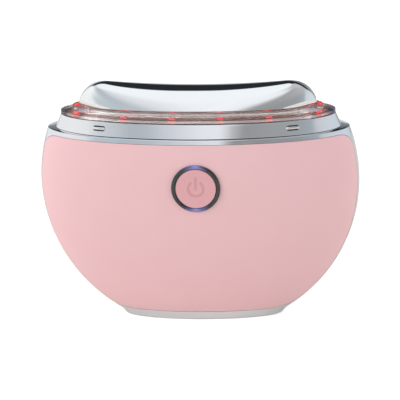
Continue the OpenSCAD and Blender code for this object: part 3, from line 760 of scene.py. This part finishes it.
def moulded(name, dark, light, roughness, grain_mm=0.6, grain=0.15, coat=0.0):
    material, tree, shader, coords = new_material(name)
    rough = (roughness * (1 - ROUGHNESS_WANDER), roughness * (1 + ROUGHNESS_WANDER))
    _, tone, wander = clouded(tree, coords, PLASTIC_CLOUD, (dark, light), rough)
    skin = add_node(tree, "ShaderNodeTexNoise", {},
                    {"Vector": coords, "Scale": 1 / (grain_mm * MM), "Detail": FINE_DETAIL})
    relief = add_node(tree, "ShaderNodeBump", {}, {"Height": skin.outputs["Fac"], "Strength": grain,
                                                   "Distance": GRAIN_HEIGHT * MM})
    connect(tree, shader, {"Base Color": tone, "Roughness": wander, "Normal": relief.outputs["Normal"],
                           "Coat Weight": coat, "Coat Roughness": COAT_ROUGHNESS})
    return material


# Lacquer over ABS: an even, powdery pink with a soft sheen
pink_lacquer = moulded("pink_lacquered_abs", "#eabfc4", "#edc3c7", 0.42, grain_mm=0.5, grain=0.06, coat=0.25)
# The cap's lacquer has no clear coat, so it looks a little flatter, and its darker tone is painted shade
cap_lacquer_painted_shade = moulded("pink_lacquered_cap_painted_shade", "#dfa9ae", "#e2acb1", 0.38, grain_mm=0.5, grain=0.06)
# The symbol is a second shot of plastic in the cap, a little darker and duller
icon_plastic = moulded("darker_pink_symbol", "#d6999f", "#d99da3", 0.45)
# Black for the depth of a gap: painted shade, where almost no light comes back
painted_gap_shade = moulded("black_painted_gap_shade", "#0b0b0d", "#101013", 0.6)
print("lacquers and plastics:", len(bpy.data.materials))

# %% [markdown]
# ## Plated and polished metal
# The frame and collar are chrome plate over plastic, and the head is polished zinc alloy. Chrome is
# nearly white and mirror bright, so its colour comes from what it reflects. The head is polished a
# touch finer than the plate. The ring is black chrome with a painted blue-violet highlight at its top
# and bottom, a tone that fades in towards the ring's middle line.

# %% Metal
PLATE_CLOUD = 6.0


def plated(name, dark, light, low, high, cloud_mm=PLATE_CLOUD):
    material, tree, shader, coords = new_material(name)
    _, tone, wander = clouded(tree, coords, cloud_mm, (dark, light), (low, high), FINE_DETAIL)
    connect(tree, shader, {"Base Color": tone, "Roughness": wander, "Metallic": 1.0})
    return material


# Satin on the frame blurs the room a little, bright on the collar and polish on the head don't
satin_chrome = plated("satin_chrome_plate", "#e6eaee", "#edf0f3", 0.06, 0.10)
bright_chrome = plated("bright_chrome_plate", "#eaebed", "#eff0f2", 0.05, 0.08)
polished_steel = plated("polished_zinc_alloy", "#f3f5f6", "#f7f9fa", 0.03, 0.06)
print("materials so far:", len(bpy.data.materials))

# %% The ring's painted highlight
RING_HIGHLIGHT_FULL_X, RING_HIGHLIGHT_END_X, RING_HIGHLIGHT_SHARE = 0.4, 3.4, 0.85


def ring_chrome():
    """Black chrome with a painted blue-violet highlight at the top and bottom of the ring."""
    material = plated("black_chrome_plate", "#454a4a", "#5c6263", 0.06, 0.12, cloud_mm=0.9)
    tree, shader = material.node_tree, principled(material)
    coords = next(n for n in tree.nodes if n.type == "TEX_COORD").outputs["Object"]
    # Painted highlight: blue-violet near the ring's middle line, at its top and bottom
    film = add_node(tree, "ShaderNodeMapRange", {},
                    {"Value": from_middle(tree, coords), "From Min": RING_HIGHLIGHT_FULL_X * MM,
                     "From Max": RING_HIGHLIGHT_END_X * MM, "To Min": RING_HIGHLIGHT_SHARE, "To Max": 0.0})
    plain = shader.inputs["Base Color"].links[0].from_socket
    tone = add_node(tree, "ShaderNodeMix", {"data_type": "RGBA"},
                    {"Factor": film.outputs["Result"], MIX_FIRST: plain, MIX_SECOND: "#a0a2e8"})
    connect(tree, shader, {"Base Color": tone.outputs[MIX_RESULT]})
    return material


dark_chrome = ring_chrome()
print("materials so far:", len(bpy.data.materials))

# %% [markdown]
# ## Clear lens
# The lens is clear polycarbonate, which bends light more than glass does. A thin haze and a share of
# plain transparency keep it from turning black where its many walls overlap. Its two ends look
# violet in the photograph, so a violet tint grows towards them, a painted highlight. The lower wall
# has a darker tint, which paints the shade that the collar casts on it.

# %% Clear plastic
POLYCARBONATE_IOR, LENS_ALPHA, HAZE = 1.58, 0.8, 1.5
HAZE_ROUGHNESS = (0.06, 0.12)
VIOLET_HIGHLIGHT_START_X, VIOLET_HIGHLIGHT_FULL_X = 34.8, 36.6


def clear_polycarbonate(name, dark, light):
    material, tree, shader, coords = new_material(name)
    haze, tone, wander = clouded(tree, coords, HAZE, (dark, light), HAZE_ROUGHNESS)
    # Painted highlight: a violet tint that grows towards both ends of the lens
    violet = add_node(tree, "ShaderNodeMix", {"data_type": "RGBA"},
                      {"Factor": haze, MIX_FIRST: "#a898f0", MIX_SECOND: "#b8a8fa"}).outputs[MIX_RESULT]
    ends = add_node(tree, "ShaderNodeMapRange", {},
                    {"Value": from_middle(tree, coords), "From Min": VIOLET_HIGHLIGHT_START_X * MM,
                     "From Max": VIOLET_HIGHLIGHT_FULL_X * MM})
    tint = add_node(tree, "ShaderNodeMix", {"data_type": "RGBA"},
                    {"Factor": ends.outputs["Result"], MIX_FIRST: tone, MIX_SECOND: violet})
    connect(tree, shader, {"Base Color": tint.outputs[MIX_RESULT], "Roughness": wander,
                           "Transmission Weight": 1.0, "IOR": POLYCARBONATE_IOR, "Alpha": LENS_ALPHA})
    return material


lens_material = clear_polycarbonate("clear_polycarbonate", "#e6e0de", "#f2eeec")
# The lower wall's darker tint: painted shade from the collar
lens_painted_shade = clear_polycarbonate("clear_polycarbonate_painted_collar_shade", "#4e4644", "#5a5250")
print("violet from", VIOLET_HIGHLIGHT_START_X, "mm outwards")

# %% [markdown]
# ## Red light
# The LEDs are lit in the photograph. Each die glows by itself, and the board and the glue round it
# catch some of its light. Lamps inside the lens would need many samples to come out clean, so the
# board and glue have a faint glow of their own, in spots where the glue is thin.

# %% LEDs, board and glue
LED_DIE, LED_GLOW, BOARD_GLOW = 0.5, 2.0, 0.4
GLUE_SPOT, GLUE_GLOW = 0.3, 0.6
LED_ROUGHNESS = (0.5, 0.5)


def lit_led():
    """Clear epoxy over a red die: saturated, and brighter than anything near it."""
    material, tree, shader, coords = new_material("lit_red_led")
    _, tone, wander = clouded(tree, coords, LED_DIE, ("#e01008", "#ff2a18"), LED_ROUGHNESS)
    connect(tree, shader, {"Base Color": tone, "Roughness": wander, "Emission Color": "#ff1408",
                           "Emission Strength": LED_GLOW})
    return material


def lit_board():
    """Red solder mask, glossy, with the LEDs' light lying on it as a faint glow."""
    material = moulded("red_solder_mask", "#7a3026", "#8c3a2c", 0.4)
    connect(material.node_tree, principled(material), {"Emission Color": "#b04a34",
                                                       "Emission Strength": BOARD_GLOW})
    return material


def lit_glue():
    """Brown glue under the lens that catches the LEDs' light in small spots."""
    material, tree, shader, coords = new_material("brown_glue_line")
    noise = add_node(tree, "ShaderNodeTexNoise", {}, {"Vector": coords, "Scale": 1 / (GLUE_SPOT * MM)})
    spots = add_node(tree, "ShaderNodeMapRange", {}, {"Value": noise.outputs["Fac"], "From Min": NOISE_LOW,
                                                      "From Max": NOISE_HIGH})
    tone = add_node(tree, "ShaderNodeMix", {"data_type": "RGBA"},
                    {"Factor": spots.outputs["Result"], MIX_FIRST: "#2c1c18",
                     MIX_SECOND: "#b0603f"}).outputs[MIX_RESULT]
    connect(tree, shader, {"Base Color": tone, "Emission Color": tone, "Emission Strength": GLUE_GLOW})
    return material


glue_line = lit_glue()
led_material = lit_led()
board_material = lit_board()
print("materials so far:", len(bpy.data.materials))

# %% [markdown]
# ## The pieces inside
# Nothing inside shows while the tool is closed, but an exploded view or a cut shows all of it. Each
# solid is dressed in what such a piece is made of, so that films, boards, rubbers and turned metal
# can be told apart at a glance.

# %% Finishes inside
finishes = {
    # Films and foam: the heater's amber film is glossy, the cell's sleeve shines, the foam is dull
    "heater_film": moulded("amber_polyimide_film", "#b5611c", "#c56f24", 0.35),
    "battery": moulded("blue_cell_film", "#44607e", "#4a6888", 0.3),
    "battery_pad": moulded("grey_foam_tape", "#333335", "#3c3c3e", 0.8, grain_mm=0.4, grain=0.6),
    # Rubbers: matt, because they are soft and moulded without polish
    "head_gasket": moulded("white_silicone", "#e2e0df", "#eae8e7", 0.6),
    "motor_boot": moulded("black_rubber", "#0f0f10", "#151516", 0.7, grain=0.3),
    # Bare mouldings: ABS has a soft sheen, glass-filled nylon a coarser grain
    "chassis": moulded("white_abs", "#dadad6", "#e0e0dc", 0.5),
    "deck": moulded("grey_nylon", "#2a2a2c", "#303033", 0.55, grain=0.3),
    "board_connectors": moulded("ivory_nylon", "#ddd5bd", "#e4dcc6", 0.45),
    "tact_switch": moulded("black_nylon", "#141416", "#1a1a1c", 0.45),
    "switch_plunger": moulded("black_nylon_plunger", "#141416", "#1a1a1c", 0.4),
    "usb_tongue": moulded("black_lcp", "#101012", "#151518", 0.4),
    # Boards: solder mask is a thin glossy lacquer
    "led_board": board_material,
    "main_board": moulded("green_solder_mask", "#12502a", "#165a30", 0.35),
    "usb_board": moulded("green_solder_mask_small", "#12502a", "#165a30", 0.35),
    # Parts on the boards: epoxy is black and satin, ferrite grey and dull
    "red_leds": led_material,
    "thermistor": moulded("black_epoxy_bead", "#0c0c0e", "#131316", 0.3),
    "control_chip": moulded("black_chip_epoxy", "#101011", "#161617", 0.5),
    "charge_chip": moulded("black_chip_epoxy_small", "#101011", "#161617", 0.5),
    "power_inductor": moulded("grey_ferrite", "#3a3a3c", "#424245", 0.6),
    # Metals: a drawn can and a stamped shell are bright, sintered brass is grainy and dull
    "motor_can": plated("zinc_plated_can", "#b5b5b8", "#c2c2c5", 0.25, 0.35),
    "motor_shaft": plated("ground_steel", "#c4c4c7", "#cfcfd2", 0.15, 0.25),
    "motor_weight": plated("sintered_brass", "#b9954f", "#c7a35c", 0.35, 0.5),
    "usb_socket": plated("stamped_steel", "#bcbcc0", "#c8c8cc", 0.2, 0.3),
    # The button and its symbol show at the front
    "power_button": cap_lacquer_painted_shade,
    "power_icon": icon_plastic,
}
for name in ("head_screws", "deck_screws", "board_screws", "usb_board_screws", "frame_screws"):
    finishes[name] = plated("zinc_plated_" + name, "#a6a6a9", "#b4b4b7", 0.25, 0.4)
print("pieces with their own finish:", len(finishes))


# %% Dressing
def dress(obj, *materials):
    obj.data.materials.clear()
    for material in materials:
        obj.data.materials.append(material)


for name, material in finishes.items():
    dress(nodes[name], material)
for obj, material in ((front_shell, pink_lacquer), (rear_shell, pink_lacquer), (frame_piece, satin_chrome),
                      (collar, bright_chrome), (beads, bright_chrome), (bead_seats_painted_shade, painted_gap_shade),
                      (seam, painted_gap_shade), (head, polished_steel), (bezel, dark_chrome)):
    dress(obj, material)
dress(lens, lens_material, glue_line, lens_painted_shade)
print("materials:", len(bpy.data.materials))

# %% [markdown]
# ## Floor and lights
# The tool stands on white paper that fades into a white room. Two large soft lamps shape the pink:
# a stronger one from the left and a weaker one from the right. They don't show in mirrors, because
# the chrome's reflections are drawn by the room itself in the next step.

# %% Floor
FLOOR_RADIUS, FLOOR_Z, FLOOR_SIDES = 420.0, -0.02, 96
FLOOR_GLOW, FLOOR_GLOW_MIRRORED = 0.6, 0.04     # seen directly or through the lens, and in mirrors
PAPER_ROUGHNESS = 0.9


def make_floor():
    bm = bmesh.new()
    bmesh.ops.create_circle(bm, cap_ends=True, segments=FLOOR_SIDES, radius=FLOOR_RADIUS)
    bmesh.ops.translate(bm, vec=(0, 0, FLOOR_Z), verts=bm.verts)
    floor = piece("floor", bm)
    material = bpy.data.materials.new("white_paper")
    material.use_nodes = True
    tree = material.node_tree
    path = add_node(tree, "ShaderNodeLightPath")
    seen = add_node(tree, "ShaderNodeMath", {"operation": "MAXIMUM"},
                    {0: path.outputs["Is Camera Ray"], 1: path.outputs["Is Transmission Ray"]})
    mirrored = add_node(tree, "ShaderNodeMath", {"operation": "MULTIPLY"},
                        {0: path.outputs["Is Glossy Ray"], 1: FLOOR_GLOW_MIRRORED})
    glow = add_node(tree, "ShaderNodeMath", {"operation": "MULTIPLY_ADD"},
                    {0: seen.outputs[0], 1: FLOOR_GLOW, 2: mirrored.outputs[0]})
    connect(tree, principled(material), {"Base Color": "#efe9e4", "Roughness": PAPER_ROUGHNESS,
                                         "Emission Color": "#ffffff", "Emission Strength": glow.outputs[0]})
    dress(floor, material)


make_floor()
print("floor:", 2 * FLOOR_RADIUS, "mm across")

# %% Lights
LIGHT_AIM = (0, 0, 35)


def area_light(name, place_mm, side_mm, power):
    data = bpy.data.lights.new(name, "AREA")
    data.shape = "RECTANGLE"
    data.size = data.size_y = side_mm * MM
    data.energy = power
    light = bpy.data.objects.new(name, data)
    bpy.context.scene.collection.objects.link(light)
    place, aim = Vector(place_mm) * MM, Vector(LIGHT_AIM) * MM
    light.location = place
    light.rotation_mode = "QUATERNION"
    light.rotation_quaternion = (aim - place).to_track_quat("-Z", "Y")
    light.visible_glossy = False


area_light("key", place_mm=(-900, -450, 450), side_mm=600, power=6.2)
area_light("fill", place_mm=(900, -300, 300), side_mm=500, power=2.8)
print("lights:", len(bpy.data.lights))

# %% [markdown]
# ## The room that the chrome reflects
# A mirror shows what surrounds it. The head, the collar and the lens show a studio that is white on
# the left and grey on the right, with a darker wall behind and above the tool. Cards round the tool
# could do it, but each would also change the light on the pink. The room's tones are painted by
# direction in the world instead, and only glossy rays see them. To all other rays it is plain white.

# %% Tones of the room
# From left (-1) to right (1), near the horizon, at 60 degrees, and overhead
LOW_TONES = [(-1, "#f6f7f8"), (-0.86, "#f8f8f9"), (-0.7, "#f0f0f1"), (-0.6, "#c6ced4"), (-0.42, "#bcc6cd"),
             (-0.3, "#c0c6cd"), (-0.2, "#ced2d7"), (-0.1, "#e0e3e8"), (0.02, "#f2f5fa"), (0.07, "#919596"),
             (0.25, "#94989a"), (0.5, "#9da2a6"), (0.66, "#a6b2ba"), (0.74, "#d2d6da"), (1, "#d8e2ea")]
MID_TONES = [(-1, "#ffffff"), (-0.58, "#ffffff"), (-0.47, "#dee0e2"), (-0.39, "#bec3c8"), (-0.31, "#bcc2c8"),
             (-0.21, "#dfe2e7"), (-0.05, "#fafbff"), (0.06, "#f2f3f6"), (0.13, "#a8a8a8"), (0.3, "#b6b6b6"),
             (0.6, "#b6babc"), (1, "#dfe4e8")]
HIGH_TONES = [(-1, "#ffffff"), (-0.6, "#fffaf5"), (-0.5, "#dee8f0"), (-0.3, "#f6faff"), (-0.03, "#fafdff"),
              (0.04, "#c4c4c6"), (0.4, "#c8c8c8"), (0.7, "#d2dae0"), (1, "#e6eaee")]
WALL_FOOT, WALL_HEAD = "#7d8689", "#272a2e"     # the wall darkens upwards

# Borders, as the parts of a direction that point right, back or up
LOW_TO_MID, MID_TO_HIGH, WALL_DARKENS = (0.1, 0.86), (0.84, 0.96), (0.34, 0.5)
WALL_BACK, WALL_UP = (0.22, 0.3), (0.2, 0.32)
WALL_LEFT, WALL_RIGHT = (-0.6, -0.48), (0.78, 0.7)
MIDDLE_LEFT, MIDDLE_RIGHT, MIDDLE_FORWARD = (-0.09, -0.01), (0.09, 0.01), 0.12


def tones_across(tree, right, stops):
    """The room's tone from left to right, from stops of (place, hex colour)."""
    across = add_node(tree, "ShaderNodeMapRange", {}, {"Value": right, "From Min": -1, "From Max": 1})
    node = add_node(tree, "ShaderNodeValToRGB", {}, {"Fac": across.outputs["Result"]})
    band = node.color_ramp
    for k, (place, hex_colour) in enumerate(stops):
        point = band.elements[k] if k < 2 else band.elements.new(1.0)
        point.position, point.color = (place + 1) / 2, linear(hex_colour)
    return node.outputs["Color"]


# %% Borders of the room
def border(tree, value, low, high):
    """0 before low and 1 past high, or the other way round when low is the larger."""
    first, second = (0, 1) if low < high else (1, 0)
    node = add_node(tree, "ShaderNodeMapRange", {"interpolation_type": "SMOOTHSTEP"},
                    {"Value": value, "From Min": min(low, high), "From Max": max(low, high),
                     "To Min": first, "To Max": second})
    return node.outputs["Result"]


def inside_all(tree, *borders):
    share = borders[0]
    for factor in borders[1:]:
        both = add_node(tree, "ShaderNodeMath", {"operation": "MULTIPLY"}, {0: share, 1: factor})
        share = both.outputs[0]
    return share


def layer(tree, share, below, above):
    return add_node(tree, "ShaderNodeMix", {"data_type": "RGBA"},
                    {"Factor": share, MIX_FIRST: below, MIX_SECOND: above}).outputs[MIX_RESULT]


def room_tones(tree):
    coords = add_node(tree, "ShaderNodeTexCoord")
    split = add_node(tree, "ShaderNodeSeparateXYZ", {}, {"Vector": coords.outputs["Generated"]})
    right, back, up = (split.outputs[k] for k in ("X", "Y", "Z"))
    low, mid, high = (tones_across(tree, right, stops) for stops in (LOW_TONES, MID_TONES, HIGH_TONES))
    tones = layer(tree, border(tree, up, *LOW_TO_MID), low, mid)
    tones = layer(tree, border(tree, up, *MID_TO_HIGH), tones, high)
    wall_tone = layer(tree, border(tree, up, *WALL_DARKENS), WALL_FOOT, WALL_HEAD)
    middle = inside_all(tree, border(tree, right, *MIDDLE_LEFT), border(tree, right, *MIDDLE_RIGHT))
    # The wall reaches a little further forward in the middle of the room
    depth = add_node(tree, "ShaderNodeMath", {"operation": "MULTIPLY_ADD"},
                     {0: middle, 1: MIDDLE_FORWARD, 2: back}).outputs[0]
    wall = inside_all(tree, border(tree, depth, *WALL_BACK), border(tree, up, *WALL_UP),
                      border(tree, right, *WALL_LEFT), border(tree, right, *WALL_RIGHT))
    return layer(tree, wall, tones, wall_tone)


# %% World
WORLD_LEVEL = 0.61                              # light from all round; the camera sees full white


def make_world():
    world = bpy.data.worlds.new("studio")
    bpy.context.scene.world = world
    world.use_nodes = True
    tree = world.node_tree
    path = add_node(tree, "ShaderNodeLightPath")
    plain = next(n for n in tree.nodes if n.type == "BACKGROUND")
    level = add_node(tree, "ShaderNodeMapRange", {}, {"Value": path.outputs["Is Camera Ray"],
                                                      "To Min": WORLD_LEVEL, "To Max": 1.0})
    connect(tree, plain, {"Color": "#ffffff", "Strength": level.outputs["Result"]})
    room = add_node(tree, "ShaderNodeBackground", {}, {"Color": room_tones(tree), "Strength": 1.0})
    mix = add_node(tree, "ShaderNodeMixShader", {},
                   {0: path.outputs["Is Glossy Ray"], 1: plain.outputs[0], 2: room.outputs[0]})
    out = next(n for n in tree.nodes if n.type == "OUTPUT_WORLD")
    connect(tree, out, {"Surface": mix.outputs[0]})


make_world()
bpy.context.scene.view_settings.view_transform = "Standard"
print("tones in the room:", len(LOW_TONES) + len(MID_TONES) + len(HIGH_TONES))
